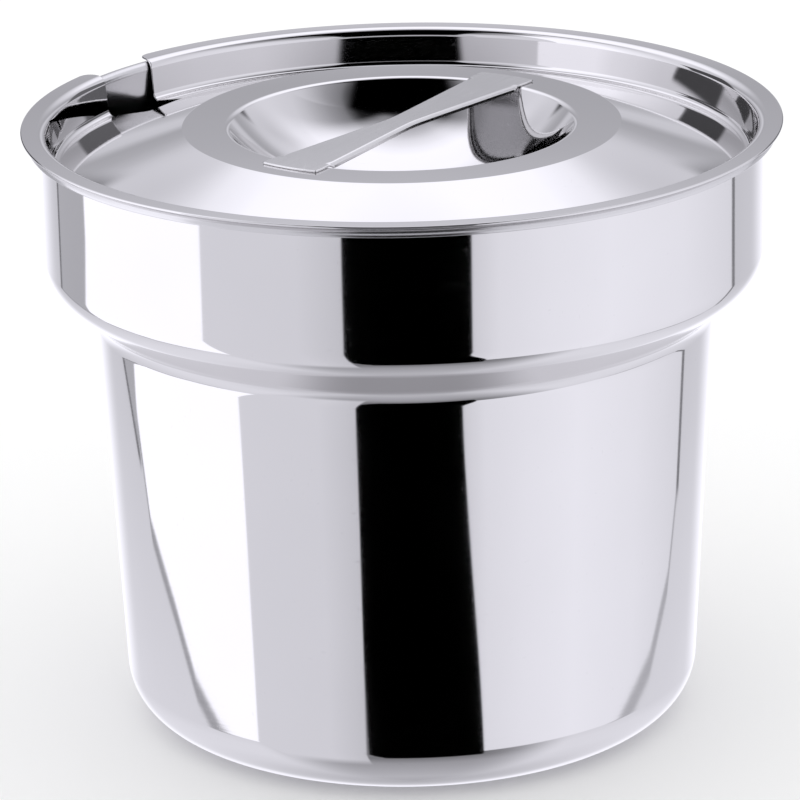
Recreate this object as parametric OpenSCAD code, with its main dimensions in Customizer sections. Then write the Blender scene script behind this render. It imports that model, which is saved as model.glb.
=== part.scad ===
// Round soup kettle inset with a recessed, notched lid.
// Three pressed stainless steel pieces: the pot, its lift-off lid and the strap welded across the lid.
// The axis is Z, the flat base stands on z = 0 and the ladle notch faces -X.

/* [Sheet] */
// Thickness of the pot's wall
pot_sheet = 0.8; // [0.6:0.1:1.2]
// Thickness of the lid
lid_sheet = 0.8; // [0.6:0.1:1.2]
// Thickness of the strap handle
strap_sheet = 0.8; // [0.6:0.1:1.2]

/* [Pot] */
// Height of the pot to the top of its rolled lip
pot_h = 206.9; // [165:0.1:260]
// Outside diameter of the straight collar
collar_d = 242.6; // [230:0.1:300]
// Height of the collar from the shoulder to the top of the lip
collar_h = 43.1; // [34:0.1:60]
// Outside diameter of the body just under the shoulder
body_d = 209.2; // [170:0.1:216]
// Draft of the body's side
body_draft = 2.8; // [0:0.1:5]
// Radius between the base and the side
base_r = 18.5; // [8:0.5:30]
// Outside radius of the bend from the collar into the shoulder
shoulder_r = 12; // [8:0.1:16]
// Lean of the shoulder's straight slope from upright
slope_lean = 49.6; // [40:0.1:75]
// Radius where the shoulder runs into the body
neck_r = 9.5; // [4:0.1:12]
// Radius inside the rolled lip
lip_r = 1.9; // [1:0.1:3]
// Straight end of the rolled lip
lip_end = 0.4; // [0.1:0.1:2]

/* [Lid] */
// How far the lid's flange reaches past the pot's lip
flange_reach = 2.1; // [0.5:0.1:6]
// Radial clearance between the lid's wall and the pot
lid_clear = 0.55; // [0.3:0.05:1.5]
// Gap between the lid's flange and the top of the pot's lip
seat_gap = 0.3; // [0.3:0.05:0.6]
// Depth of the groove at the foot of the lid's wall, below the flange
groove_depth = 12.6; // [9:0.1:20]
// Lean of the lid's wall from upright
wall_lean = 7; // [2:0.5:12]
// Radius between the flange and the wall
flange_bend_r = 3.4; // [1.3:0.1:3.6]
// Radius of the groove at the foot of the wall
groove_r = 2.2; // [1:0.1:4]
// Depth of the flat ring below the top of the flange
ring_drop = 1.53; // [0.5:0.01:4]
// Radius where the cone meets the ring
crease_r = 1.2; // [1.2:0.1:2]
// Diameter of the flat ring inside the cone
ring_d = 147.2; // [140:0.2:160]
// Diameter of the finger dish
dish_d = 119.4; // [99:0.1:124]
// Depth of the finger dish below the ring
dish_depth = 26; // [18:0.5:32]
// Radius of the dish's edge
dish_edge_r = 2.6; // [1.5:0.1:5]

/* [Ladle notch] */
// Depth of the notch from the rim of the flange
notch_depth = 31; // [20:0.5:34]
// Width of the notch at its inner end
notch_w = 18.9; // [14:0.1:24]
// Sideways offset of the inner end
notch_shift = -1.95; // [-4:0.05:4]
// Splay of the side towards +Y
notch_splay = 25.4; // [0:0.1:30]
// Lean of the other side, which follows the ladle's handle
notch_lead = 9.4; // [0:0.1:12]
// Radius in the notch's inner corners
notch_r = 1.5; // [0.5:0.1:4]
// Radius on the flange's corners beside the notch
notch_tip_r = 4; // [1:0.1:5]

/* [Handle] */
// Width of the strap at its middle
strap_waist = 10.2; // [8:0.1:14]
// Width of the strap where its ends lie on the ring
strap_end_w = 21.4; // [16:0.1:28]
// How far each end laps onto the ring
strap_lap = 6.7; // [4:0.1:8]
// Height of the strap's turned-down edges
strap_edge_h = 2.2; // [1.4:0.1:3]
// Clear length between a turned-down edge's end and the dish's edge
strap_edge_gap = 4.5; // [4:0.1:8]

/* [Hidden] */

// Turn made by each straight piece of an arc
arc_step = 6;
// Facets of the round pressings, and of the notch's small corners
round_facets = 180;
corner_facets = 48;
// How far cutters run past what they cut
over = 5;
// Where the cutter of a flange corner starts inside the notch, in corner radii from its centre
tip_start = 1.01;

collar_r = collar_d / 2;
body_r = body_d / 2;
collar_in_r = collar_r - pot_sheet;
lip_out_r = collar_r + 2 * lip_r + pot_sheet;
shoulder_z = pot_h - collar_h;
// Step in radius that the shoulder's two bends make, and what is left for the slope between them
bends_step = neck_r * cos(body_draft) + shoulder_r - (neck_r + shoulder_r) * cos(slope_lean);
slope_step = collar_r - body_r - bends_step;
// Where the bends alone make the whole step, they meet at a smaller lean and there is no slope
shoulder_lean = slope_step > 0
    ? slope_lean
    : acos((neck_r * cos(body_draft) + shoulder_r - (collar_r - body_r)) / (neck_r + shoulder_r));
shoulder_run = slope_step > 0 ? slope_step / sin(slope_lean) : 0;
neck_z = shoulder_z - shoulder_r * sin(shoulder_lean) - shoulder_run * cos(shoulder_lean)
    - neck_r * (sin(shoulder_lean) - sin(body_draft));
side_foot_z = base_r * (1 - sin(body_draft));
side_len = (neck_z - side_foot_z) / cos(body_draft);
base_flat_r = body_r - side_len * sin(body_draft) - base_r * cos(body_draft);
collar_len = collar_h - lip_r - pot_sheet;

lid_r = lip_out_r + flange_reach;
lid_top = pot_h + seat_gap + lid_sheet;
wall_rise = 90 - wall_lean;
// Underside of the flange's bend stands lid_clear inside the pot's collar
wall_top_r = collar_in_r - lid_clear - lid_sheet * sin(wall_rise) + (flange_bend_r - lid_sheet) * (1 - sin(wall_rise));
flange_in_r = wall_top_r + flange_bend_r * sin(wall_rise);
groove_top_z = lid_top - groove_depth - lid_sheet;
// The wall's length makes the groove's lowest point lie at groove_top_z
wall_len = (lid_top - groove_top_z - flange_bend_r * (1 - cos(wall_rise)) - groove_r * (1 - cos(wall_rise)))
    / sin(wall_rise);
groove_centre_r = wall_top_r - wall_len * cos(wall_rise) - groove_r * sin(wall_rise);
ring_r = ring_d / 2;
ring_z = lid_top - ring_drop;
// The cone is the straight line that touches the groove's arc and the ring's crease
bends = groove_r + crease_r;
cone_reach = groove_centre_r - ring_r;
cone_climb = ring_z - groove_top_z - bends;
cone_len = sqrt(cone_reach * cone_reach + cone_climb * cone_climb - bends * bends);
cone_slope = atan2(cone_climb, cone_reach) + atan2(bends, cone_len);
dish_r = dish_d / 2;
dish_angle = 2 * atan(dish_depth / dish_r);
bowl_r = dish_r / sin(dish_angle) - dish_edge_r;

notch_in_x = notch_depth - lid_r;
strap_tip_r = dish_r + strap_lap;
strap_edge_y = dish_r - strap_edge_gap;

// Points of a pressed sheet's surface. Each step is [length, turn]: a straight run where turn is 0,
// else an arc of that radius which turns left by turn degrees. side is how far the wanted surface
// lies to the left of the first one, so that both surfaces of a sheet come from the same steps.
function run(p, heading, steps, side, i = 0) =
    i == len(steps) ? [p] :
    let(size = steps[i][0], turn = steps[i][1])
    turn == 0
        ? concat([p], run(p + size * [cos(heading), sin(heading)], heading, steps, side, i + 1))
        : let(radius = size - sign(turn) * side, n = ceil(abs(turn) / arc_step),
              arc = [for (k = [0 : n]) arc_point(p, heading, radius, turn * k / n)])
          concat([for (k = [0 : n - 1]) arc[k]], run(arc[n], heading + turn, steps, side, i + 1));

function arc_point(p, heading, radius, turn) =
    p + sign(turn) * radius * [sin(heading + turn) - sin(heading), cos(heading) - cos(heading + turn)];

function backwards(list) = [for (i = [len(list) - 1 : -1 : 0]) list[i]];

// A round pressing of one thickness, from its centre out to its free edge
module pressing(start_z, steps, thickness) {
    rotate_extrude($fn = round_facets)
        polygon(concat(
            run([0, start_z], 0, steps, 0),
            backwards(run([0, start_z + thickness], 0, steps, thickness))));
}

// The pot's outside surface, from the middle of the base to the end of the lip
module pot() {
    color("gainsboro")
        pressing(0, [
            [base_flat_r, 0],
            [base_r, 90 - body_draft],
            [side_len, 0],
            [neck_r, body_draft - shoulder_lean],
            if (shoulder_run > 0) [shoulder_run, 0],
            [shoulder_r, shoulder_lean],
            [collar_len, 0],
            [lip_r, -180],
            [lip_end, 0]
        ], pot_sheet);
}

// The lid's underside, from the middle of the dish to the edge of the flange
module lid() {
    color("silver")
        difference() {
            pressing(ring_z - dish_depth - lid_sheet, [
                [bowl_r + lid_sheet, dish_angle],
                [dish_edge_r - lid_sheet, -dish_angle],
                [ring_r - dish_r, 0],
                [crease_r - lid_sheet, -cone_slope],
                [cone_len, 0],
                [groove_r + lid_sheet, cone_slope + wall_rise],
                [wall_len, 0],
                [flange_bend_r - lid_sheet, -wall_rise],
                [lid_r - flange_in_r, 0]
            ], lid_sheet);
            translate([0, 0, groove_top_z - lid_sheet - over])
                linear_extrude(groove_depth + 2 * lid_sheet + 2 * over)
                    notch_outline();
        }
}

// Plan of the ladle notch, open towards -X
module notch_outline() {
    right_y = notch_shift + notch_w / 2;
    left_y = notch_shift - notch_w / 2;
    reach = notch_depth + over;
    // Places of the inner corners' centres, for sides that lean by splay and by lead
    right = [notch_in_x - notch_r, right_y - notch_r * corner_step(notch_splay)];
    left = [notch_in_x - notch_r, left_y + notch_r * corner_step(-notch_lead)];
    polygon([
        [notch_in_x, left[1]],
        [notch_in_x, right[1]],
        right + notch_r * [sin(notch_splay), cos(notch_splay)],
        [notch_in_x - reach, right_y + reach * tan(notch_splay)],
        [notch_in_x - reach, left_y + reach * tan(notch_lead)],
        left + notch_r * [-sin(notch_lead), -cos(notch_lead)]
    ]);
    for (c = [left, right])
        translate(c) circle(notch_r, $fn = corner_facets);
    flange_tip([sin(notch_splay), cos(notch_splay)], [notch_in_x, right_y]);
    flange_tip([-sin(notch_lead), -cos(notch_lead)], [notch_in_x, left_y]);
}

// How far a corner's centre stands in from the corner, in radii, where the side leans outwards
function corner_step(lean) = tan((90 - lean) / 2);

// Rounds the flange's corner: normal points from the notch into the flange, through a point of the side
module flange_tip(normal, point) {
    off = normal * point + notch_tip_r;
    along = -sqrt(pow(lid_r - notch_tip_r, 2) - off * off);
    dir = [abs(normal[1]), -sign(normal[1]) * normal[0]];
    centre = off * normal + along * dir;
    difference() {
        polygon([
            centre - notch_tip_r * tip_start * normal,
            centre,
            centre * (lid_r + over) / norm(centre),
            centre - notch_tip_r * tip_start * normal - 2 * notch_tip_r * dir
        ]);
        translate(centre) circle(notch_tip_r, $fn = corner_facets);
    }
}

// The strap handle: a plate waisted at its middle, with turned-down edges over the dish
module handle() {
    bottom = ring_z;
    color("lightgray") {
        translate([0, 0, bottom])
            linear_extrude(strap_sheet)
                intersection() {
                    strap_plan(strap_tip_r + over);
                    circle(strap_tip_r, $fn = round_facets);
                }
        translate([0, 0, bottom + strap_sheet - strap_edge_h])
            linear_extrude(strap_edge_h - strap_sheet)
                difference() {
                    strap_plan(strap_edge_y);
                    strap_plan(strap_edge_y + over, strap_sheet);
                }
    }
}

// Half width of the strap at a distance from its middle
function strap_half(y) = (strap_waist + (strap_end_w - strap_waist) * min(y / dish_r, 1)) / 2;

// Plan of the strap out to a distance from its middle, drawn in by inset on its long sides
module strap_plan(reach, inset = 0) {
    ys = [-reach, -dish_r, 0, dish_r, reach];
    stations = [for (y = ys) if (abs(y) <= reach) y];
    polygon(concat(
        [for (y = stations) [strap_half(abs(y)) - inset, y]],
        [for (y = backwards(stations)) [inset - strap_half(abs(y)), y]]));
}

pot();
lid();
handle();
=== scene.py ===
"""Polished steel soup kettle inset with its notched lid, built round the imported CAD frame.

Lengths are in metres in the frame's own axes: Z up from the middle of the pot's base, the ladle
notch towards -X and the strap handle along Y.
"""
import math

import bpy
import numpy as np
from mathutils import Matrix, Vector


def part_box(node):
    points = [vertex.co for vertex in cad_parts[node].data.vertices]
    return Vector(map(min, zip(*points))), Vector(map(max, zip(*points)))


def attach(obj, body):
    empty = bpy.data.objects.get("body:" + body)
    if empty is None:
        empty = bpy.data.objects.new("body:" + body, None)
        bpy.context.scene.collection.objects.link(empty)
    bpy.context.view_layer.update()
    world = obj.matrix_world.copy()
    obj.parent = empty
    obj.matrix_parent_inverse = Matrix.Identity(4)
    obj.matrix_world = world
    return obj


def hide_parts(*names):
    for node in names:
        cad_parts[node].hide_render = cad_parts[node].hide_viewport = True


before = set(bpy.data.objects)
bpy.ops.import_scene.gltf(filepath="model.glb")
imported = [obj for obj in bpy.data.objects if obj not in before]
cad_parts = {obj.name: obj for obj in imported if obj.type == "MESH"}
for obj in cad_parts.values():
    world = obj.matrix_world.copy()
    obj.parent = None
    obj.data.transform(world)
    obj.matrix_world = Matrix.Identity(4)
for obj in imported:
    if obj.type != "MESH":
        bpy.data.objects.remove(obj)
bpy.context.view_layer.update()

MM = 0.001
TAU = 2 * math.pi

# ---------------------------------------------------------------- sizes
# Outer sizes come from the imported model, and the rest are the design's own.
pot_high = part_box("pot")[1]
lid_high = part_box("lid")[1]
strap_low, strap_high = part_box("handle")

SHEET = 0.8 * MM

LIP_OUT_R = pot_high.x
LIP_R = 1.9 * MM
LIP_END = 0.4 * MM
COLLAR_R = LIP_OUT_R - 2 * LIP_R - SHEET
COLLAR_H = 43.1 * MM
BODY_R = 104.6 * MM
BODY_DRAFT = math.radians(2.8)
BASE_R = 18.5 * MM
SHOULDER_R = 12 * MM
SLOPE_LEAN = math.radians(49.6)
NECK_R = 9.5 * MM

LID_R = lid_high.x
LID_TOP = lid_high.z
FLANGE_BEND_R = 3.4 * MM
WALL_TOP_R = LID_R - 8.825 * MM
WALL_RISE = math.radians(83)
GROOVE_DEPTH = 12.6 * MM
GROOVE_R = 2.2 * MM
CREASE_R = 1.2 * MM
RING_R = 73.6 * MM
RING_DROP = 1.53 * MM
DISH_R = 59.7 * MM
DISH_DEPTH = 26 * MM
DISH_EDGE_R = 2.6 * MM

NOTCH_DEPTH = 31 * MM
NOTCH_IN_R = 1.5 * MM
NOTCH_TIP_R = 4 * MM
NOTCH_SIDES = {
    # side of the notch: half width at its inner end, lean of the side outwards
    1: (7.5 * MM, math.radians(25.4)),
    -1: (11.4 * MM, math.radians(-9.4)),
}

STRAP_END_R = strap_high.y
STRAP_WAIST = 10.2 * MM
STRAP_END_W = strap_high.x - strap_low.x
STRAP_TOP = strap_high.z
STRAP_EDGE_H = strap_high.z - strap_low.z
STRAP_BEND_R = 0.5 * MM
STRAP_EDGE_Y = 53.5 * MM
STRAP_FLAT_Y = 57.5 * MM

# Size of the rounding at the strap's waist, and how far along the strap it moves the straight sides out
WAIST_ROUND = 4 * MM
WAIST_EASE = 2.2 * MM

# Points that round to the same place at this many to the metre are one point
PLACES_PER_METRE = 1e8
# Longest steps of a profile: degrees of an arc, and lengths of a straight run
ARC_STEP = math.radians(3)
POT_ROW = 6 * MM
LID_ROW = 3 * MM
# The lid's rows stand this close inside and past the notch's inner end, and near the flange's edge
FINE_ROW = 0.5 * MM
FINE_BEFORE_CUT = 2 * MM
FINE_PAST_CUT = 7 * MM
FINE_AT_EDGE = 6 * MM
# Steps round a free edge
RIM_STEPS = 6
# Columns of the round pieces, and of the strip of the lid within the notch's width
AROUND = 240
NOTCH_COLUMNS = 28
# How strongly those columns crowd towards the notch's sides
COLUMN_CROWD = 0.12
NOTCH_COLUMN_CROWD = 0.6
# Rows on each side of the notch's inner edge that bend to follow it, and the angle past the notch's
# corner over which they straighten again
EDGE_ROW_REACH = 6
EDGE_ROW_EASE = math.radians(8)
# Stations along the strap, and its columns across the flat, each bend and each turned-down edge
STRAP_STATIONS = 150
FLAT_COLUMNS = 14
BEND_COLUMNS = 5
LIP_COLUMNS = 3


# ---------------------------------------------------------------- pressed sheet
def walk(start, steps, run_step):
    """Points (r, z, heading) of a profile made of straight runs and arcs, each (length, turn)."""
    r, z, heading = start[0], start[1], 0.0
    points = [(r, z, heading)]
    for size, turn in steps:
        if turn == 0:
            count = max(1, math.ceil(size / run_step))
            for k in range(1, count + 1):
                along = size * k / count
                points.append((
                    r + along * math.cos(heading),
                    z + along * math.sin(heading),
                    heading,
                ))
        else:
            count = max(2, math.ceil(abs(turn) / ARC_STEP))
            sign = math.copysign(1, turn)
            for k in range(1, count + 1):
                end = heading + turn * k / count
                points.append((
                    r + sign * size * (math.sin(end) - math.sin(heading)),
                    z + sign * size * (math.cos(heading) - math.cos(end)),
                    end,
                ))
        r, z = points[-1][0], points[-1][1]
        heading += turn
    return np.array(points)


class Sheet:
    """A thin sheet drawn as its middle surface: points, normals and faces, then given its thickness."""

    def __init__(self):
        self.points = []
        self.normals = []
        self.faces = []
        self.index = {}

    def point(self, place, normal):
        key = tuple(round(c * PLACES_PER_METRE) for c in place)
        if key not in self.index:
            self.index[key] = len(self.points)
            self.points.append(tuple(place))
            self.normals.append(tuple(normal))
        return self.index[key]

    def face(self, corners):
        ring = [c for i, c in enumerate(corners) if c != corners[i - 1]]
        if len(set(ring)) >= 3:
            self.faces.append(ring)

    def grid(self, rows):
        """Faces between neighbouring rows of point numbers."""
        for low, high in zip(rows[:-1], rows[1:]):
            for j in range(len(low) - 1):
                self.face([low[j], low[j + 1], high[j + 1], high[j]])

    def loops(self):
        """Free edges, as closed loops of point numbers in the faces' own direction."""
        once = {}
        for ring in self.faces:
            for a, b in zip(ring, ring[1:] + ring[:1]):
                if (b, a) in once:
                    del once[(b, a)]
                else:
                    once[(a, b)] = True
        after = {a: b for a, b in once}
        found = []
        while after:
            start, b = after.popitem()
            loop = [start]
            while b != start:
                loop.append(b)
                b = after.pop(b)
            found.append(loop)
        return found

    def build(self, name, thickness, materials, back_material=0):
        """The mesh object: front and back surfaces, with every free edge rounded."""
        middle = np.array(self.points)
        normal = np.array(self.normals)
        count = len(middle)
        half = thickness / 2
        places = [middle + half * normal, middle - half * normal]
        normals = [normal, -normal]
        faces = [list(f) for f in self.faces]
        faces += [[count + i for i in reversed(f)] for f in self.faces]
        marks = [0] * len(self.faces) + [back_material] * len(self.faces)
        total = 2 * count
        for loop in self.loops():
            line = middle[loop]
            ahead = np.roll(line, -1, axis=0) - np.roll(line, 1, axis=0)
            outward = np.cross(ahead, normal[loop])
            outward /= np.linalg.norm(outward, axis=1)[:, None]
            rings = [list(loop)]
            for k in range(1, RIM_STEPS):
                a = math.pi * k / RIM_STEPS
                round_normal = normal[loop] * math.cos(a) + outward * math.sin(a)
                places.append(line + half * round_normal)
                normals.append(round_normal)
                rings.append(list(range(total, total + len(loop))))
                total += len(loop)
            rings.append([count + i for i in loop])
            for upper, lower in zip(rings[:-1], rings[1:]):
                for j in range(len(loop)):
                    n = (j + 1) % len(loop)
                    faces.append([upper[n], upper[j], lower[j], lower[n]])
                    marks.append(0)
        mesh = bpy.data.meshes.new(name)
        mesh.from_pydata(np.concatenate(places).tolist(), [], faces)
        for material in materials:
            mesh.materials.append(material)
        mesh.polygons.foreach_set("material_index", marks)
        mesh.polygons.foreach_set("use_smooth", [True] * len(faces))
        mesh.update()
        mesh.normals_split_custom_set_from_vertices(np.concatenate(normals).tolist())
        piece = bpy.data.objects.new(name, mesh)
        bpy.context.scene.collection.objects.link(piece)
        return piece


def on_round(row, angle):
    """Place and upward normal of a profile point (r, z, heading) turned to an angle about Z."""
    r, z, heading = row
    c, s = math.cos(angle), math.sin(angle)
    place = (r * c, r * s, z)
    normal = (-math.sin(heading) * c, -math.sin(heading) * s, math.cos(heading))
    return place, normal


def smooth_step(x):
    """0 below 0 and 1 above 1, with a smooth step between."""
    x = min(1, max(0, x))
    return x * x * (3 - 2 * x)


# ---------------------------------------------------------------- pot
def make_pot(outside, inside):
    lean = SLOPE_LEAN
    # how far out the two bends go, which leaves the rest of the step to the slope
    bends_step = NECK_R * math.cos(BODY_DRAFT) + SHOULDER_R - (NECK_R + SHOULDER_R) * math.cos(lean)
    slope_len = (COLLAR_R - BODY_R - bends_step) / math.sin(lean)
    neck_z = (pot_high.z - COLLAR_H - SHOULDER_R * math.sin(lean) - slope_len * math.cos(lean)
              - NECK_R * (math.sin(lean) - math.sin(BODY_DRAFT)))
    side_len = (neck_z - BASE_R * (1 - math.sin(BODY_DRAFT))) / math.cos(BODY_DRAFT)
    base_flat = BODY_R - side_len * math.sin(BODY_DRAFT) - BASE_R * math.cos(BODY_DRAFT)
    half = SHEET / 2
    profile = walk((0, half), [
        (base_flat, 0),
        (BASE_R - half, math.pi / 2 - BODY_DRAFT),
        (side_len, 0),
        (NECK_R + half, BODY_DRAFT - lean),
        (slope_len, 0),
        (SHOULDER_R - half, lean),
        (COLLAR_H - LIP_R - SHEET, 0),
        (LIP_R + half, -math.pi),
        (LIP_END - half, 0),
    ], POT_ROW)
    sheet = Sheet()
    rows = []
    for row in profile:
        line = [sheet.point(*on_round(row, -TAU * j / AROUND)) for j in range(AROUND)]
        rows.append(line + line[:1])
    sheet.grid(rows)
    return sheet.build("pot_shell", SHEET, [inside, outside], back_material=1)


# ---------------------------------------------------------------- lid
class NotchSide:
    """One side of the ladle notch, in plan: s runs out along the notch and t away from its middle."""

    def __init__(self, sign, grow):
        half_width, lean = NOTCH_SIDES[sign]
        self.inner_s = LID_R - NOTCH_DEPTH - grow
        self.rim_r = LID_R - grow
        self.along = np.array([math.cos(lean), math.sin(lean)])
        self.away = np.array([-math.sin(lean), math.cos(lean)])
        self.offset = np.array([LID_R - NOTCH_DEPTH, half_width]) @ self.away + grow
        # inner corner
        self.in_r = NOTCH_IN_R + grow
        corner_s = self.inner_s + self.in_r
        corner_t = (self.offset - self.in_r - corner_s * self.away[0]) / self.away[1]
        self.corner = np.array([corner_s, corner_t])
        foot = self.corner + self.in_r * self.away
        self.foot_r = np.linalg.norm(foot)
        middle = self.away + np.array([-1.0, 0.0])
        self.start = self.corner + self.in_r * middle / np.linalg.norm(middle)
        self.start_r = np.linalg.norm(self.start)
        self.start_angle = math.atan2(self.start[1], self.start[0])
        # rounded tip of the flange
        self.tip_r = NOTCH_TIP_R - grow
        reach = self.offset + self.tip_r
        run = math.sqrt((self.rim_r - self.tip_r) ** 2 - reach ** 2)
        self.tip = reach * self.away + run * self.along
        self.tip_foot_r = np.linalg.norm(self.tip - self.tip_r * self.away)

    def angle(self, r):
        """Angle of the side from the notch's middle, at radius r from the lid's axis."""
        if r <= self.start_r:
            return self.start_angle
        if r < self.foot_r:
            return self.on_arc(self.corner, self.in_r, r, 1)
        if r < self.tip_foot_r:
            place = self.offset * self.away + math.sqrt(r * r - self.offset ** 2) * self.along
            return math.atan2(place[1], place[0])
        return self.on_arc(self.tip, self.tip_r, min(r, self.rim_r), -1)

    @staticmethod
    def on_arc(centre, radius, r, sign):
        d = np.linalg.norm(centre)
        cos_a = (r * r + d * d - radius * radius) / (2 * r * d)
        return math.atan2(centre[1], centre[0]) + sign * math.acos(min(1, max(-1, cos_a)))

    def inner_radius(self, angle):
        """Radius of the notch's inner edge at an angle from the notch's middle."""
        straight = self.inner_s / math.cos(angle)
        if straight * math.sin(angle) <= self.corner[1]:
            return straight
        d = np.linalg.norm(self.corner)
        gap = angle - math.atan2(self.corner[1], self.corner[0])
        return d * math.cos(gap) - math.sqrt(max(0, self.in_r ** 2 - (d * math.sin(gap)) ** 2))


def lid_profile():
    """Middle surface of the lid from the dish's centre out to the flange's edge."""
    half = SHEET / 2
    bend, groove = FLANGE_BEND_R, GROOVE_R
    groove_z = LID_TOP - GROOVE_DEPTH - SHEET
    wall_len = (LID_TOP - groove_z - (bend + groove) * (1 - math.cos(WALL_RISE))) / math.sin(WALL_RISE)
    ring_z = LID_TOP - RING_DROP
    # the cone is the straight line that touches the groove's arc and the ring's crease
    bends = groove + CREASE_R
    reach = WALL_TOP_R - wall_len * math.cos(WALL_RISE) - groove * math.sin(WALL_RISE) - RING_R
    climb = ring_z - groove_z - bends
    cone_len = math.sqrt(reach * reach + climb * climb - bends * bends)
    cone_slope = math.atan2(climb, reach) + math.atan2(bends, cone_len)
    dish_angle = 2 * math.atan(DISH_DEPTH / DISH_R)
    bowl_r = DISH_R / math.sin(dish_angle) - DISH_EDGE_R
    flange_in_r = WALL_TOP_R + bend * math.sin(WALL_RISE)
    cut_in = LID_R - NOTCH_DEPTH
    steps = [
        (bowl_r + half, dish_angle),
        (DISH_EDGE_R - half, -dish_angle),
        (RING_R - DISH_R, 0),
        (CREASE_R - half, -cone_slope),
        (cone_len, 0),
        (groove + half, cone_slope + WALL_RISE),
        (wall_len, 0),
        (bend - half, -WALL_RISE),
        (LID_R - half - flange_in_r, 0),
    ]
    coarse = walk((0, ring_z - DISH_DEPTH - half), steps, LID_ROW)
    # rows stand closer where the notch's rounded corners cut through them
    rows = [coarse[0]]
    for point in coarse[1:]:
        last = rows[-1]
        length = math.hypot(point[0] - last[0], point[1] - last[1])
        near_in = cut_in - FINE_BEFORE_CUT < point[0] < cut_in + FINE_PAST_CUT
        near_tip = point[0] > LID_R - FINE_AT_EDGE
        straight = last[2] == point[2]
        count = math.ceil(length / FINE_ROW) if straight and (near_in or near_tip) else 1
        for k in range(1, count + 1):
            share = k / count
            rows.append(last + (point - last) * share if count > 1 else point)
    return np.array(rows)


def make_lid(material):
    half = SHEET / 2
    rows = lid_profile()
    sides = {sign: NotchSide(sign, half) for sign in (1, -1)}
    start_r = max(side.start_r for side in sides.values())
    # the row that follows the notch's inner edge
    edge_row = int(np.argmin(np.abs(rows[:, 0] - start_r)))
    low_row, high_row = edge_row - EDGE_ROW_REACH, edge_row + EDGE_ROW_REACH
    slope = (rows[high_row] - rows[low_row]) / (rows[high_row][0] - rows[low_row][0])

    def edge_radius(angle):
        """Radius of the edge row at an angle from the notch's middle, easing off beyond the notch."""
        sign = 1 if angle > 0 else -1
        side, away = sides[sign], abs(angle)
        if away <= side.start_angle:
            return side.inner_radius(away)
        ease = smooth_step((away - side.start_angle) / EDGE_ROW_EASE)
        return side.start_r + (rows[edge_row][0] - side.start_r) * ease

    def warped(i, angle):
        row = rows[i]
        if not low_row < i < high_row:
            return row
        if i <= edge_row:
            hat = (i - low_row) / (edge_row - low_row)
        else:
            hat = (high_row - i) / (high_row - edge_row)
        shift = (edge_radius(angle) - rows[edge_row][0]) * hat
        return row + slope * shift

    main_span = TAU - sides[1].start_angle - sides[-1].start_angle
    sheet = Sheet()
    main_rows, notch_rows = [], []
    for i in range(len(rows)):
        r = rows[i][0]
        if i <= edge_row:
            first, last = sides[1].start_angle, TAU - sides[-1].start_angle
        else:
            first = sides[1].angle(boundary_radius(sides[1], rows, edge_row, i, high_row))
            last = TAU - sides[-1].angle(boundary_radius(sides[-1], rows, edge_row, i, high_row))
        line = []
        for j in range(AROUND + 1):
            share = j / AROUND
            share -= COLUMN_CROWD * math.sin(TAU * share) / TAU
            angle = first + (last - first) * share
            signed = angle if angle <= math.pi else angle - TAU
            line.append(sheet.point(*on_round(warped(i, signed), math.pi - angle)))
        main_rows.append(line)
        if i <= edge_row:
            line = []
            for j in range(NOTCH_COLUMNS + 1):
                share = j / NOTCH_COLUMNS
                share -= NOTCH_COLUMN_CROWD * math.sin(TAU * share) / TAU
                angle = -sides[-1].start_angle + (TAU - main_span) * share
                line.append(sheet.point(*on_round(warped(i, angle), math.pi - angle)))
            notch_rows.append(line)
    sheet.grid(main_rows)
    sheet.grid(notch_rows)
    return sheet.build("lid_shell", SHEET, [material])


def boundary_radius(side, rows, edge_row, i, high_row):
    """Radius at which a row past the notch's inner edge meets the notch's side."""
    if i >= high_row:
        return rows[i][0]
    share = (i - edge_row) / (high_row - edge_row)
    return side.start_r + (rows[high_row][0] - side.start_r) * share


# ---------------------------------------------------------------- strap handle
def make_strap(top, under):
    half = SHEET / 2
    middle_z = STRAP_TOP - half
    sheet = Sheet()
    bend = STRAP_BEND_R + half
    lip = STRAP_EDGE_H - bend - half - half
    end_r = STRAP_END_R - half
    rows = []
    for i in range(STRAP_STATIONS + 1):
        v = -end_r + 2 * end_r * i / STRAP_STATIONS
        fold = 1 - smooth_step((abs(v) - STRAP_EDGE_Y) / (STRAP_FLAT_Y - STRAP_EDGE_Y))
        # the sides run straight from the waist to the ends, and round the waist itself
        away = max(0, math.hypot(v, WAIST_ROUND) - WAIST_EASE)
        width = STRAP_WAIST + (STRAP_END_W - STRAP_WAIST) * min(away / DISH_R, 1)
        line = []
        for x, drop, nx, nz in strap_section(width / 2 - half, bend, lip, fold):
            # past the dish's edge the rows turn to follow the round end
            y = v
            if abs(v) > STRAP_FLAT_Y:
                share = (abs(v) - STRAP_FLAT_Y) / (end_r - STRAP_FLAT_Y)
                end_y = math.sqrt(end_r ** 2 - x * x)
                y = math.copysign(STRAP_FLAT_Y + (end_y - STRAP_FLAT_Y) * share, v)
            line.append(sheet.point((x, y, middle_z - drop), (nx, 0, nz)))
        rows.append(line)
    sheet.grid(rows)
    return sheet.build("handle_strap", SHEET, [top, under], back_material=1)


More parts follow.
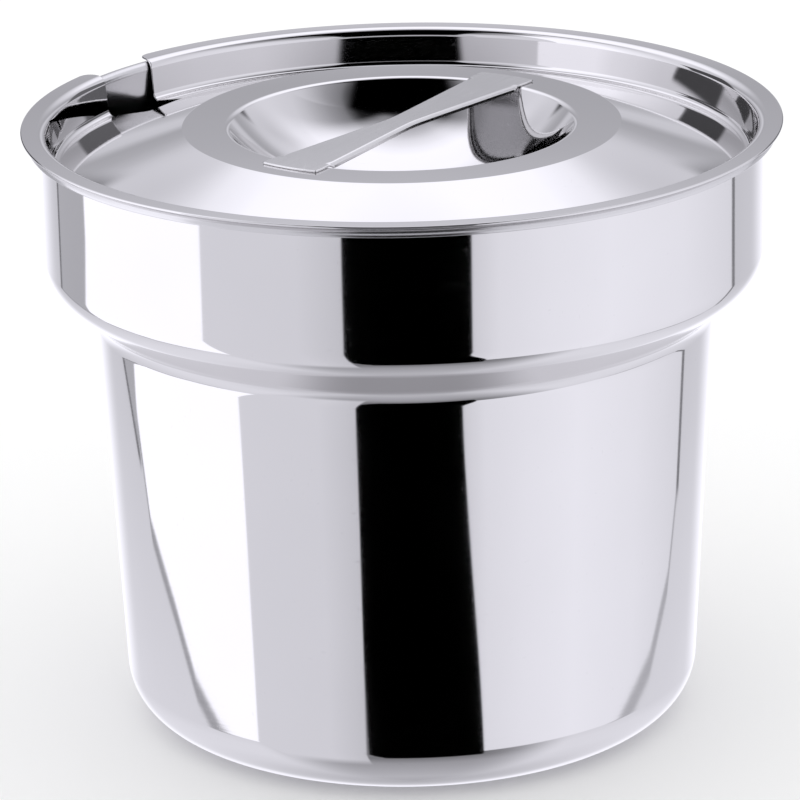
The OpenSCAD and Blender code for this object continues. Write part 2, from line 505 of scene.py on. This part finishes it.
def strap_section(half_width, bend, lip, fold):
    """Middle line (x, drop, nx, nz) from -X to +X: a flat, and at each side a bend and a lip.

    fold is 1 where the edges are turned down square and 0 where they lie flat.
    """
    turn = fold * math.pi / 2
    arc = bend * math.pi / 2
    flat = half_width - (bend * math.sin(turn) + (arc * (1 - fold) + lip) * math.cos(turn))
    side = []
    for k in range(BEND_COLUMNS + 1):
        a = turn * k / BEND_COLUMNS
        unrolled = arc * (1 - fold) * k / BEND_COLUMNS
        x = flat + bend * math.sin(a) + unrolled
        side.append((x, bend * (1 - math.cos(a)), math.sin(a), math.cos(a)))
    x, drop = side[-1][0], side[-1][1]
    for k in range(1, LIP_COLUMNS + 1):
        run = lip * k / LIP_COLUMNS
        side.append((
            x + run * math.cos(turn),
            drop + run * math.sin(turn),
            math.sin(turn),
            math.cos(turn),
        ))
    plain = [(-flat + 2 * flat * k / FLAT_COLUMNS, 0, 0, 1) for k in range(1, FLAT_COLUMNS)]
    left = [(-x, drop, -nx, nz) for x, drop, nx, nz in reversed(side)]
    return left + plain + side


# ---------------------------------------------------------------- materials
class Shade:
    """Small helpers that add nodes to one node tree."""

    def __init__(self, tree):
        self.nodes, self.links = tree.nodes, tree.links

    def put(self, socket, value):
        if isinstance(value, (int, float)):
            socket.default_value = value
        else:
            self.links.new(value, socket)

    def math(self, kind, *values):
        node = self.nodes.new("ShaderNodeMath")
        node.operation = kind
        for socket, value in zip(node.inputs, values):
            self.put(socket, value)
        return node.outputs[0]

    def vector(self, x, y, z):
        node = self.nodes.new("ShaderNodeCombineXYZ")
        for socket, value in zip(node.inputs, (x, y, z)):
            self.put(socket, value)
        return node.outputs[0]

    def noise(self, vector, scale, detail):
        node = self.nodes.new("ShaderNodeTexNoise")
        self.put(node.inputs["Scale"], scale)
        self.put(node.inputs["Detail"], detail)
        self.links.new(vector, node.inputs["Vector"])
        return node.outputs["Fac"]

    def rise(self, value, low, high):
        """0 below low and 1 above high, with a smooth step between."""
        node = self.nodes.new("ShaderNodeMapRange")
        node.interpolation_type = "SMOOTHSTEP"
        self.put(node.inputs["From Min"], low)
        self.put(node.inputs["From Max"], high)
        self.put(node.inputs["Value"], value)
        return node.outputs[0]

    def past(self, value, edge, soft):
        """1 where value is past an edge that may itself vary, fading over a soft width."""
        return self.rise(self.math("SUBTRACT", value, edge), -soft / 2, soft / 2)

    def between(self, value, low, high, soft_low, soft_high):
        """1 between low and high, fading over a soft width at each end."""
        return self.math("SUBTRACT", self.past(value, low, soft_low), self.past(value, high, soft_high))

    def curve(self, value, stops, most):
        """Straight lines between (value, result) stops, with no result above most."""
        node = self.nodes.new("ShaderNodeValToRGB")
        low, high = stops[0][0], stops[-1][0]
        above = self.math("SUBTRACT", value, float(low))
        self.put(node.inputs["Fac"], self.math("DIVIDE", above, float(high - low)))
        elements = node.color_ramp.elements
        elements.remove(elements[1])
        for i, (where, result) in enumerate(stops):
            share = (where - low) / (high - low)
            stop = elements[0] if i == 0 else elements.new(share)
            stop.position = share
            grey = result / most
            stop.color = (grey, grey, grey, 1)
        return self.math("MULTIPLY", node.outputs["Color"], float(most))

    def mix(self, share, first, second):
        """first where share is 0 and second where it is 1."""
        node = self.nodes.new("ShaderNodeMix")
        node.clamp_factor = True
        self.put(node.inputs["Factor"], share)
        self.put(node.inputs["A"], first)
        self.put(node.inputs["B"], second)
        return node.outputs["Result"]

    def both(self, first, *others):
        """The product of all values, which for masks is where they all hold."""
        for other in others:
            first = self.math("MULTIPLY", first, other)
        return first


# Noise counts for each metre: across the polishing lines and along them on the strap, in the clouding,
# in the two sizes of waviness, along a scratch and across it, and in the specks
ACROSS_LINES = 2600.0
ALONG_LINES = 40.0
CLOUDS = 22.0
WAVES = 9.0
SMALL_WAVES = 28.0
ALONG_SCRATCH = 45.0
ACROSS_SCRATCH = 1500.0
DOWN_SCRATCH = 700.0
SPECKS = 900.0
# Noise count for each radian along the polishing lines of a round piece
TURNED_LINES = 2.0
# Finer layers of noise in the polishing lines, the clouding and the specks
LINE_LAYERS = 3.0
CLOUD_LAYERS = 4.0
SPECK_LAYERS = 1.0
# Height of the small waves as a share of the large ones
SMALL_WAVE_SHARE = 0.3
# The two directions that scratches run in, as (cosine, sine, shift in the noise)
SCRATCH_WAYS = ((0.8, 0.6, 0.0), (0.5, -0.87, 3.0))
# Noise levels between which scratches and specks appear, and those between which the roughness changes
SCRATCH_LEVELS = (0.78, 0.88)
SPECK_LEVELS = (0.745, 0.80)
ROUGH_LEVELS = (0.35, 0.7)
# How much rougher worn spots are, and how much darker the steel is there and in its clouds
WORN_ROUGHER = 0.05
WORN_TINT = 0.95
# Height of the sheet's gentle waviness, and depth of its scratches
WAVE_HEIGHT = 0.15 * MM
SCRATCH_DEPTH = 0.0004 * MM


def steel(name, tint, rough, polish, grain):
    """Steel with polishing lines that run round the object's axis, or along Y where grain is along.

    rough is its lowest and highest roughness, and polish the height of the lines.
    """
    material = bpy.data.materials.new(name)
    material.use_nodes = True
    shade = Shade(material.node_tree)
    shader = shade.nodes["Principled BSDF"]
    shader.inputs["Metallic"].default_value = 1.0
    place = shade.nodes.new("ShaderNodeTexCoord").outputs["Object"]
    split = shade.nodes.new("ShaderNodeSeparateXYZ")
    shade.links.new(place, split.inputs[0])
    x, y, z = split.outputs
    if grain == "round":
        radius = shade.math("SQRT", shade.math("ADD", shade.both(x, x), shade.both(y, y)))
        turn = shade.math("ARCTAN2", y, x)
        lines = shade.vector(
            shade.both(radius, ACROSS_LINES),
            shade.both(z, ACROSS_LINES),
            shade.both(turn, TURNED_LINES))
    else:
        lines = shade.vector(
            shade.both(x, ACROSS_LINES),
            shade.both(y, ALONG_LINES),
            shade.both(z, ACROSS_LINES))
    fine = shade.noise(lines, 1.0, LINE_LAYERS)
    cloud = shade.noise(place, CLOUDS, CLOUD_LAYERS)
    small_wave = shade.both(shade.noise(place, SMALL_WAVES, 0.0), SMALL_WAVE_SHARE)
    wave = shade.math("ADD", shade.noise(place, WAVES, 0.0), small_wave)

    # wear: thin scratches in two directions, and small dull specks
    scratches = []
    for along, over, shift in SCRATCH_WAYS:
        run = shade.math("ADD", shade.both(x, along), shade.both(y, over))
        side = shade.math("SUBTRACT", shade.both(y, along), shade.both(x, over))
        marks = shade.vector(
            shade.both(run, ALONG_SCRATCH),
            shade.both(side, ACROSS_SCRATCH),
            shade.math("ADD", shade.both(z, DOWN_SCRATCH), shift))
        scratches.append(shade.rise(shade.noise(marks, 1.0, 0.0), *SCRATCH_LEVELS))
    scratched = shade.math("MAXIMUM", *scratches)
    specks = shade.rise(shade.noise(place, SPECKS, SPECK_LAYERS), *SPECK_LEVELS)
    wear = shade.math("MAXIMUM", scratched, specks)

    spread = shade.nodes.new("ShaderNodeMapRange")
    spread.inputs["From Min"].default_value = ROUGH_LEVELS[0]
    spread.inputs["From Max"].default_value = ROUGH_LEVELS[1]
    spread.inputs["To Min"].default_value = rough[0]
    spread.inputs["To Max"].default_value = rough[1]
    shade.put(spread.inputs["Value"], shade.both(shade.math("ADD", fine, cloud), 0.5))
    worn = shade.both(wear, WORN_ROUGHER)
    shade.put(shader.inputs["Roughness"], shade.math("ADD", spread.outputs[0], worn))

    colour = shade.nodes.new("ShaderNodeMix")
    colour.data_type = "RGBA"
    colour.inputs["A"].default_value = (*tint, 1)
    colour.inputs["B"].default_value = (*(WORN_TINT * c for c in tint), 1)
    shade.put(colour.inputs["Factor"], shade.math("MAXIMUM", cloud, wear))
    shade.put(shader.inputs["Base Color"], colour.outputs["Result"])

    # heights in metres
    height = shade.math("ADD", shade.both(fine, polish), shade.both(wave, WAVE_HEIGHT))
    height = shade.math("SUBTRACT", height, shade.both(scratched, SCRATCH_DEPTH))
    bump = shade.nodes.new("ShaderNodeBump")
    bump.inputs["Strength"].default_value = 1.0
    bump.inputs["Distance"].default_value = 1.0
    shade.put(bump.inputs["Height"], height)
    shade.put(shader.inputs["Normal"], bump.outputs[0])
    return material


# ---------------------------------------------------------------- studio
# The camera stands at an azimuth, a distance from the object's axis and a height over the lid's top, and
# its view is turned, dropped and rolled. At azimuth 0 it would look along +Y. Its lens is long, and it
# sees as far as CAM_FAR.
CAM_AZIMUTH = math.radians(34.3)
CAM_DISTANCE = 1.6218
CAM_OVER_LID = 0.4496
CAM_TURN = math.radians(0.087)
CAM_PITCH = math.radians(18.728)
CAM_ROLL = math.radians(1.1774)
CAM_SENSOR_MM = 36
CAM_LENS_MM = 225
CAM_FAR = 30


def make_camera():
    data = bpy.data.cameras.new("camera")
    data.sensor_width = CAM_SENSOR_MM
    data.lens = CAM_LENS_MM
    data.clip_end = CAM_FAR
    camera = bpy.data.objects.new("camera", data)
    bpy.context.scene.collection.objects.link(camera)
    camera.location = (
        CAM_DISTANCE * math.sin(CAM_AZIMUTH),
        -CAM_DISTANCE * math.cos(CAM_AZIMUTH),
        LID_TOP + CAM_OVER_LID,
    )
    turn = Matrix.Rotation(CAM_AZIMUTH + CAM_TURN, 4, "Z")
    tilt = Matrix.Rotation(math.pi / 2 - CAM_PITCH, 4, "X")
    roll = Matrix.Rotation(-CAM_ROLL, 4, "Z")
    camera.rotation_mode = "QUATERNION"
    camera.rotation_quaternion = (turn @ tilt @ roll).to_quaternion()
    bpy.context.scene.camera = camera


# A tent stands round the object and shows in the steel. It is a sphere, and a place on it is given in
# degrees: across runs from 0 at the camera's side to 90 on its right, and height from -90 to 90.
TENT_R = 0.5
TENT_Z = 0.1
TENT_COLUMNS = 64
TENT_ROWS = 33
BRIGHTEST = 1.5
LIGHT_TINT = (1.005, 1.0, 1.085, 1)
# Largest results of the curves that give an angle round the tent, and a height on it
HALF_TURN = 180
TALLEST_FOOT = 60


class Spot:
    """A place on the tent, as nodes that give it in degrees."""

    def __init__(self, shade):
        place = shade.nodes.new("ShaderNodeTexCoord")
        turn = shade.nodes.new("ShaderNodeVectorRotate")
        turn.rotation_type = "Z_AXIS"
        turn.inputs["Angle"].default_value = -CAM_AZIMUTH
        shade.links.new(place.outputs["Object"], turn.inputs["Vector"])
        split = shade.nodes.new("ShaderNodeSeparateXYZ")
        shade.links.new(turn.outputs[0], split.inputs[0])
        x, y, z = split.outputs
        degrees = 180 / math.pi
        turned = shade.math("ARCTAN2", x, shade.math("MULTIPLY", y, -1.0))
        tilted = shade.math("ARCSINE", shade.math("DIVIDE", z, TENT_R))
        self.across = shade.math("MULTIPLY", turned, degrees)
        self.leftward = shade.math("MULTIPLY", self.across, -1.0)
        self.height = shade.math("MULTIPLY", tilted, degrees)
        # 1 at the camera's side and -1 behind the object
        self.facing = shade.math("COSINE", turned)
        # degrees from overhead, to the right and to behind
        from_top = shade.math("SUBTRACT", 90.0, self.height)
        self.aside = shade.both(from_top, shade.math("SINE", turned))
        self.behind = shade.both(from_top, shade.math("MULTIPLY", self.facing, -1.0))


def tent_cloth(shade, spot):
    """The plain cloth: its sides, the darker front, and the soft box behind."""
    sides = shade.curve(spot.height, [
        (-90, 0.55), (-80, 0.62), (-70, 0.74), (-60, 0.86), (-50, 0.92), (-40, 0.92), (-25, 0.82),
        (-12, 0.72), (8, 0.66), (20, 0.88), (34, 0.90), (48, 0.86), (56, 0.80), (60, 0.68), (64, 0.52),
        (68, 0.38), (72, 0.25), (74, 0.09), (75.6, 0.02), (78, 0.01), (90, 0.0),
    ], BRIGHTEST)
    front = shade.curve(spot.height, [
        (-90, 0.52), (-75, 0.59), (-60, 0.50), (-47, 0.41), (-38, 0.24), (90, 0.0),
    ], BRIGHTEST)
    # the soft box reaches lower in its middle than at its sides
    lift = shade.both(shade.rise(spot.facing, -0.99, -0.86), shade.between(spot.height, 38, 57, 12, 8), 9.0)
    back = shade.curve(shade.math("SUBTRACT", spot.height, lift), [
        (-90, 0.52), (-72, 0.70), (-60, 1.1), (-20, 1.15), (0, 1.0), (10, 0.62), (14, 0.48), (17, 0.55),
        (20, 0.70), (22.5, 0.68), (25, 0.46), (28, 0.50), (31, 0.60), (34, 0.76), (37, 0.88), (41, 1.12),
        (48, 1.28), (62, 1.32), (66, 1.20), (70, 1.0), (74, 0.68), (78, 0.42), (81, 0.28), (83, 0.10),
        (85, 0.02), (90, 0.0),
    ], BRIGHTEST)
    level = shade.mix(shade.rise(spot.facing, 0.45, 0.95), sides, front)
    return shade.mix(shade.rise(spot.facing, -0.66, -0.90), level, back)


def rear_gaps(shade, spot, level):
    """A dark gap in the cloth behind the object, at its right and at its left."""
    tall = shade.between(spot.height, 12, 33.5, 6, 3)
    right = shade.both(shade.between(spot.across, 118, 151, 6, 4), tall)
    left = shade.both(shade.between(spot.leftward, 121, 151, 4, 4), tall)
    level = shade.mix(right, level, 0.16)
    return shade.mix(left, level, 0.08)


def hem(shade, level, along, above, strength, dark):
    """A dark line on a panel's lower edge, where along holds and above is near 0."""
    line = shade.both(along, shade.between(above, -1.0, 0.2, 0.6, 0.6))
    return shade.mix(shade.both(line, strength), level, dark)


def left_panels(shade, spot, level):
    """A white panel with its lower corner rounded away, and a grey one folded back beyond it."""
    foot = shade.curve(spot.leftward, [
        (59, 32.5), (76.7, 30.9), (88, 28.9), (97.3, 25.5), (109.5, 21.8), (113.4, 17),
    ], TALLEST_FOOT)
    above = shade.math("ADD", spot.height, foot)
    white_end = shade.curve(spot.height, [(-16, 113.4), (-5, 109), (12, 109), (16, 121)], HALF_TURN)
    grey_end = shade.curve(spot.height, [(-19, 113.5), (-14, 121), (-9, 129)], HALF_TURN)
    tall = shade.between(spot.height, -19, 13, 1, 5)
    pleat = shade.both(
        shade.past(spot.leftward, white_end, 1.0),
        shade.past(grey_end, spot.leftward, 1.0),
        tall)
    level = shade.mix(pleat, level, 0.52)
    seam = shade.both(
        shade.past(spot.leftward, shade.math("ADD", grey_end, -0.5), 0.8),
        shade.past(shade.math("ADD", grey_end, 1.0), spot.leftward, 0.8),
        tall)
    level = shade.mix(seam, level, 0.2)
    white = shade.both(
        shade.past(spot.leftward, 59.0, 0.8),
        shade.past(white_end, spot.leftward, 1.2),
        shade.between(above, 0, 96, 1.0, 10))
    white_high = shade.curve(spot.leftward, [
        (59, 1.30), (84, 1.30), (92, 1.14), (102, 1.06), (114, 0.93), (121, 0.90),
    ], BRIGHTEST)
    white_level = shade.mix(shade.rise(spot.height, 4.0, 18.0), 1.34, white_high)
    level = shade.mix(white, level, white_level)
    return hem(shade, level, shade.between(spot.leftward, 72, 113.5, 12, 1), above, 0.7, 0.25)


def grey_panel(shade, spot, level):
    """The grey panel at the left of the black card, its lower corner rounded."""
    left_edge = shade.curve(spot.height, [(-45, 51), (-38, 55), (-34, 57.5), (-30, 59)], HALF_TURN)
    grey = shade.both(
        shade.past(left_edge, spot.leftward, 0.8),
        shade.past(spot.leftward, 17.0, 0.4),
        shade.between(spot.height, -46, 52, 12, 24))
    grey_level = shade.curve(spot.across, [(-60, 0.84), (-30, 0.82), (-17, 0.70)], BRIGHTEST)
    return shade.mix(grey, level, grey_level)


def right_panel(shade, spot, level):
    """One broad pale panel with its lower corner rounded away, and a dark fold at its far end."""
    foot = shade.curve(spot.across, [
        (76, 32.2), (88.2, 30.3), (100.5, 28.5), (111.5, 24.9), (116, 20.5),
    ], TALLEST_FOOT)
    above = shade.math("ADD", spot.height, foot)
    pale = shade.both(
        shade.between(spot.across, 18, 115, 0.8, 1.0),
        shade.between(above, 0, 84, 1.5, 26))
    pale_level = shade.curve(spot.across, [
        (18, 0.78), (26, 0.93), (40, 1.0), (60, 1.06), (88, 1.0), (104, 0.92), (115, 0.86),
    ], BRIGHTEST)
    # it darkens a little upwards
    pale_level = shade.both(pale_level, shade.mix(shade.rise(spot.height, -5.0, 20.0), 1.0, 0.92))
    level = shade.mix(pale, level, pale_level)
    level = hem(shade, level, shade.between(spot.across, 80, 116.5, 12, 1), above, 0.6, 0.3)
    fold = shade.both(
        shade.between(spot.across, 115.4, 117.4, 0.8, 0.8),
        shade.between(spot.height, -21, 14, 1, 5))
    return shade.mix(fold, level, 0.24)


def black_card(shade, spot, level):
    """A black card in front, from under the base's height to overhead, with a rounded lower corner."""
    left_edge = shade.curve(spot.height, [
        (-36.5, 11), (-34, 14.2), (-31, 16.2), (-27, 17), (0, 17), (90, 20),
    ], HALF_TURN)
    right_edge = shade.mix(shade.rise(spot.height, -34.0, -14.0), 25.5, 18.3)
    low_part = shade.both(
        shade.past(left_edge, spot.leftward, 0.6),
        shade.past(right_edge, spot.across, 0.8),
        shade.rise(spot.height, -37.6, -36.6),
        shade.rise(spot.height, 40.0, 30.0))
    half_width = shade.mix(shade.rise(spot.height, 20.0, 88.0), 22.0, 14.0)
    inside = shade.math("SUBTRACT", half_width, shade.math("ABSOLUTE", spot.aside))
    top_part = shade.both(
        shade.rise(inside, -1.0, 1.5),
        shade.rise(spot.height, 31.0, 33.0),
        shade.rise(spot.behind, 8.5, 5.5))
    level = shade.mix(shade.math("MAXIMUM", low_part, top_part), level, 0.0)
    # between its two parts a pale gap, which the lid's flats show from behind
    slot = shade.both(
        shade.between(spot.across, -28, 26, 3, 3),
        shade.between(spot.height, 17, 31.5, 6, 2))
    return shade.mix(slot, level, 0.55)


def tent_level(shade):
    """Brightness of the tent at each place on it, with the later parts in front of the earlier."""
    spot = Spot(shade)
    level = tent_cloth(shade, spot)
    for part in (rear_gaps, left_panels, grey_panel, right_panel, black_card):
        level = part(shade, spot, level)
    return level


def make_tent():
    points = []
    for i in range(TENT_ROWS):
        tilt = math.pi * (i / (TENT_ROWS - 1) - 0.5)
        for j in range(TENT_COLUMNS):
            turn = TAU * j / TENT_COLUMNS
            points.append((
                TENT_R * math.cos(tilt) * math.cos(turn),
                TENT_R * math.cos(tilt) * math.sin(turn),
                TENT_R * math.sin(tilt),
            ))
    faces = []
    for i in range(TENT_ROWS - 1):
        low, high = i * TENT_COLUMNS, (i + 1) * TENT_COLUMNS
        for j in range(TENT_COLUMNS):
            n = (j + 1) % TENT_COLUMNS
            faces.append((low + j, low + n, high + n, high + j))
    mesh = bpy.data.meshes.new("tent")
    mesh.from_pydata(points, [], faces)
    tent = bpy.data.objects.new("tent", mesh)
    tent.location.z = TENT_Z
    bpy.context.scene.collection.objects.link(tent)
    material = bpy.data.materials.new("tent_cloth")
    material.use_nodes = True
    tree = material.node_tree
    tree.nodes.clear()
    shade = Shade(tree)
    glow = tree.nodes.new("ShaderNodeEmission")
    glow.inputs["Color"].default_value = LIGHT_TINT
    shade.put(glow.inputs["Strength"], tent_level(shade))
    output = tree.nodes.new("ShaderNodeOutputMaterial")
    tree.links.new(glow.outputs[0], output.inputs["Surface"])
    material.cycles.emission_sampling = "NONE"
    mesh.materials.append(material)
    tent.visible_camera = False
    tent.visible_diffuse = False
    tent.visible_shadow = False


# Brightness of the backdrop, and the floor's radius, corners and white
BACKDROP = 1.12
FLOOR_R = 6
FLOOR_CORNERS = 64
FLOOR_WHITE = 0.93


def make_world():
    """Even white light for the floor and a plain white backdrop."""
    world = bpy.data.worlds.new("backdrop")
    bpy.context.scene.world = world
    world.use_nodes = True
    background = world.node_tree.nodes["Background"]
    background.inputs["Color"].default_value = (BACKDROP, BACKDROP, BACKDROP, 1)


def make_floor():
    mesh = bpy.data.meshes.new("floor")
    turns = [TAU * k / FLOOR_CORNERS for k in range(FLOOR_CORNERS)]
    ring = [(FLOOR_R * math.cos(turn), FLOOR_R * math.sin(turn), 0) for turn in turns]
    mesh.from_pydata(ring, [], [list(range(FLOOR_CORNERS))])
    floor = bpy.data.objects.new("floor", mesh)
    bpy.context.scene.collection.objects.link(floor)
    material = bpy.data.materials.new("floor_white")
    material.use_nodes = True
    shader = material.node_tree.nodes["Principled BSDF"]
    shader.inputs["Base Color"].default_value = (FLOOR_WHITE, FLOOR_WHITE, FLOOR_WHITE, 1)
    shader.inputs["Roughness"].default_value = 0.9
    shader.inputs["Specular IOR Level"].default_value = 0.0
    mesh.materials.append(material)
    floor.visible_glossy = False


# ---------------------------------------------------------------- the object
polished = steel(
    "polished_steel", tint=(0.765, 0.757, 0.76), rough=(0.03, 0.07), polish=0.0012 * MM, grain="round")
satin = steel(
    "satin_steel", tint=(0.70, 0.695, 0.70), rough=(0.16, 0.26), polish=0.003 * MM, grain="round")
strap_steel = steel(
    "strap_steel", tint=(0.76, 0.755, 0.755), rough=(0.13, 0.23), polish=0.003 * MM, grain="along")
# the strap's underside: a duller finish, and a base colour about half as bright as the top's, which is
# painted shade under the strap
strap_dull_and_shaded = steel(
    "strap_dull_and_shaded", tint=(0.40, 0.40, 0.405), rough=(0.20, 0.30), polish=0.003 * MM, grain="along")

pot_shell = make_pot(polished, satin)
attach(pot_shell, "pot")
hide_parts("pot")

lid_shell = make_lid(polished)
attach(lid_shell, "lid")
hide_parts("lid")

# the strap's underside takes the darker material, whose dark base colour is painted shade
handle_strap = make_strap(strap_steel, strap_dull_and_shaded)
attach(handle_strap, "lid")
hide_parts("handle")

make_camera()
make_world()
make_tent()
make_floor()
bpy.context.scene.view_settings.view_transform = "Standard"
bpy.context.scene.cycles.max_bounces = 8
bpy.context.scene.cycles.glossy_bounces = 5
